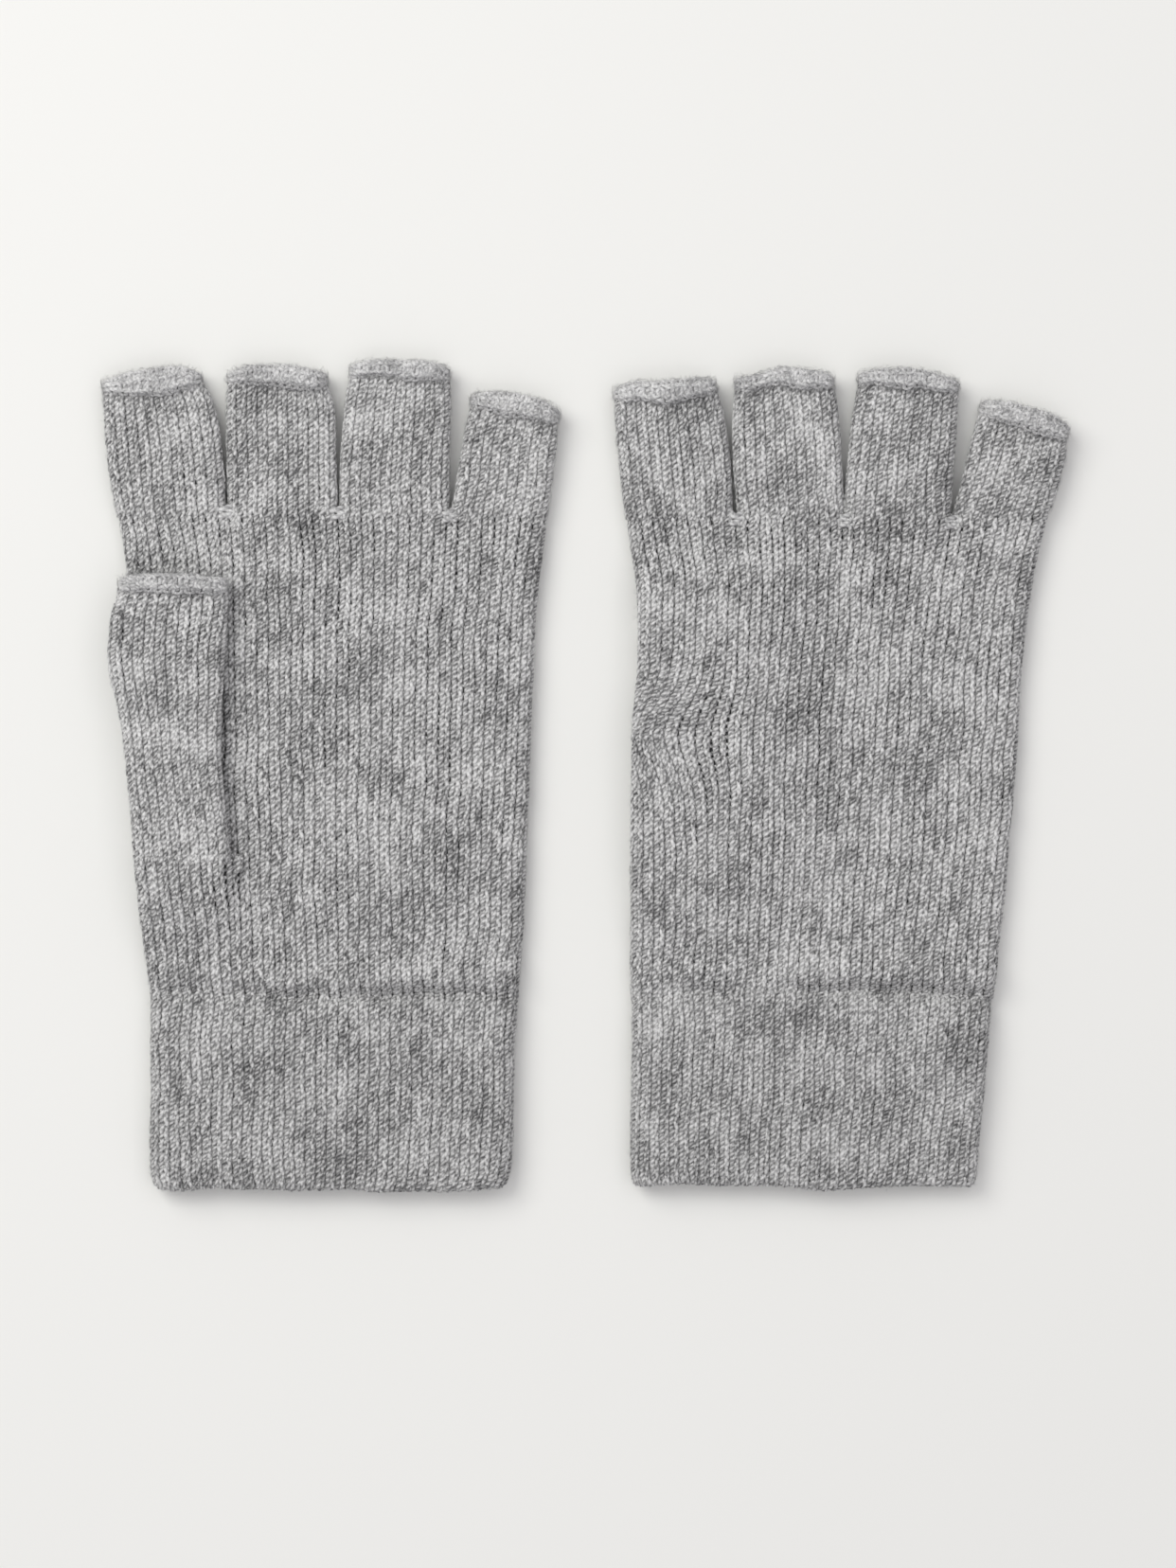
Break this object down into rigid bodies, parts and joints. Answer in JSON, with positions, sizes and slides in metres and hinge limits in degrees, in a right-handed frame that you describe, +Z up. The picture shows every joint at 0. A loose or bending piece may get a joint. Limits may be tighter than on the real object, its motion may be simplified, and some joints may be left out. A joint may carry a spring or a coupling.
{
  "type": "fingerless gloves",
  "caption": "Pair of machine-knitted grey marl fingerless gloves, lying flat, with open finger and thumb tubes, curled edges and folded cuffs.",
  "frame": {"origin": "centre of the pair's footprint, on the surface that the gloves lie on", "axes": "+Y from the cuffs to the fingertips, +X across both gloves to the right, +Z up"},
  "size_m": [0.2594, 0.221, 0.0172],
  "materials": {
    "knit": "soft marl jersey knit",
    "cuff_knit": "soft marl jersey knit, folded double",
    "inside_knit": "purl side of the marl jersey",
    "rolled_edge": "fuzzy curled edge of the knit",
    "seam_yarn": "linking yarn"
  },
  "bodies": {
    "left_cuff": {"left_cuff_outer": "cuff_knit", "left_cuff_facing": "inside_knit", "left_cuff_seam": "seam_yarn"},
    "left_hand": {"left_hand_tube": "knit", "left_thumb_gusset": "knit", "left_stitch_index_middle": "seam_yarn", "left_stitch_middle_ring": "seam_yarn", "left_stitch_ring_little": "seam_yarn", "left_stitch_thumb": "seam_yarn"},
    "left_index": {"left_index_finger": "knit", "left_index_edge": "rolled_edge"},
    "left_middle": {"left_middle_finger": "knit", "left_middle_edge": "rolled_edge"},
    "left_ring": {"left_ring_finger": "knit", "left_ring_edge": "rolled_edge"},
    "left_little": {"left_little_finger": "knit", "left_little_edge": "rolled_edge"},
    "left_thumb": {"left_thumb_tube": "knit", "left_thumb_edge": "rolled_edge"},
    "right_cuff": {"right_cuff_outer": "cuff_knit", "right_cuff_facing": "inside_knit", "right_cuff_seam": "seam_yarn"},
    "right_hand": {"right_hand_tube": "knit", "right_thumb_gusset": "knit", "right_stitch_index_middle": "seam_yarn", "right_stitch_middle_ring": "seam_yarn", "right_stitch_ring_little": "seam_yarn", "right_stitch_thumb": "seam_yarn"},
    "right_index": {"right_index_finger": "knit", "right_index_edge": "rolled_edge"},
    "right_middle": {"right_middle_finger": "knit", "right_middle_edge": "rolled_edge"},
    "right_ring": {"right_ring_finger": "knit", "right_ring_edge": "rolled_edge"},
    "right_little": {"right_little_finger": "knit", "right_little_edge": "rolled_edge"},
    "right_thumb": {"right_thumb_tube": "knit", "right_thumb_edge": "rolled_edge"}
  },
  "joints": [
    {"name": "left_wrist_fold", "type": "hinge", "parent": "left_cuff", "child": "left_hand", "pos_m": [-0.06618, -0.05914, 0.0098], "axis": [1, 0, 0], "range_deg": [0, 60]},
    {"name": "left_index_fold", "type": "hinge", "parent": "left_hand", "child": "left_index", "pos_m": [-0.11063, 0.06786, 0.0078], "axis": [1, 0, 0], "range_deg": [0, 90]},
    {"name": "left_middle_fold", "type": "hinge", "parent": "left_hand", "child": "left_middle", "pos_m": [-0.08124, 0.06786, 0.0078], "axis": [1, 0, 0], "range_deg": [0, 90]},
    {"name": "left_ring_fold", "type": "hinge", "parent": "left_hand", "child": "left_ring", "pos_m": [-0.05203, 0.06786, 0.0078], "axis": [1, 0, 0], "range_deg": [0, 90]},
    {"name": "left_little_fold", "type": "hinge", "parent": "left_hand", "child": "left_little", "pos_m": [-0.02439, 0.06786, 0.0078], "axis": [1, 0, 0], "range_deg": [0, 90]},
    {"name": "left_thumb_fold", "type": "hinge", "parent": "left_hand", "child": "left_thumb", "pos_m": [-0.10679, -0.02244, 0.0155], "axis": [1, 0, 0], "range_deg": [0, 90]},
    {"name": "right_wrist_fold", "type": "hinge", "parent": "right_cuff", "child": "right_hand", "pos_m": [0.05931, -0.05914, 0.0098], "axis": [1, 0, 0], "range_deg": [0, 60]},
    {"name": "right_index_fold", "type": "hinge", "parent": "right_hand", "child": "right_index", "pos_m": [0.02412, 0.06717, 0.0078], "axis": [1, 0, 0], "range_deg": [0, 90]},
    {"name": "right_middle_fold", "type": "hinge", "parent": "right_hand", "child": "right_middle", "pos_m": [0.05352, 0.06717, 0.0078], "axis": [1, 0, 0], "range_deg": [0, 90]},
    {"name": "right_ring_fold", "type": "hinge", "parent": "right_hand", "child": "right_ring", "pos_m": [0.08192, 0.06717, 0.0078], "axis": [1, 0, 0], "range_deg": [0, 90]},
    {"name": "right_little_fold", "type": "hinge", "parent": "right_hand", "child": "right_little", "pos_m": [0.10812, 0.06717, 0.0078], "axis": [1, 0, 0], "range_deg": [0, 90]},
    {"name": "right_thumb_fold", "type": "hinge", "parent": "right_hand", "child": "right_thumb", "pos_m": [0.02681, -0.02244, 0], "axis": [-1, 0, 0], "range_deg": [0, 90]},
    {"name": "right_glove_lift", "type": "slide", "parent": "left_cuff", "child": "right_cuff", "axis": [0, 0, 1], "range_m": [0, 0.12]}
  ]
}
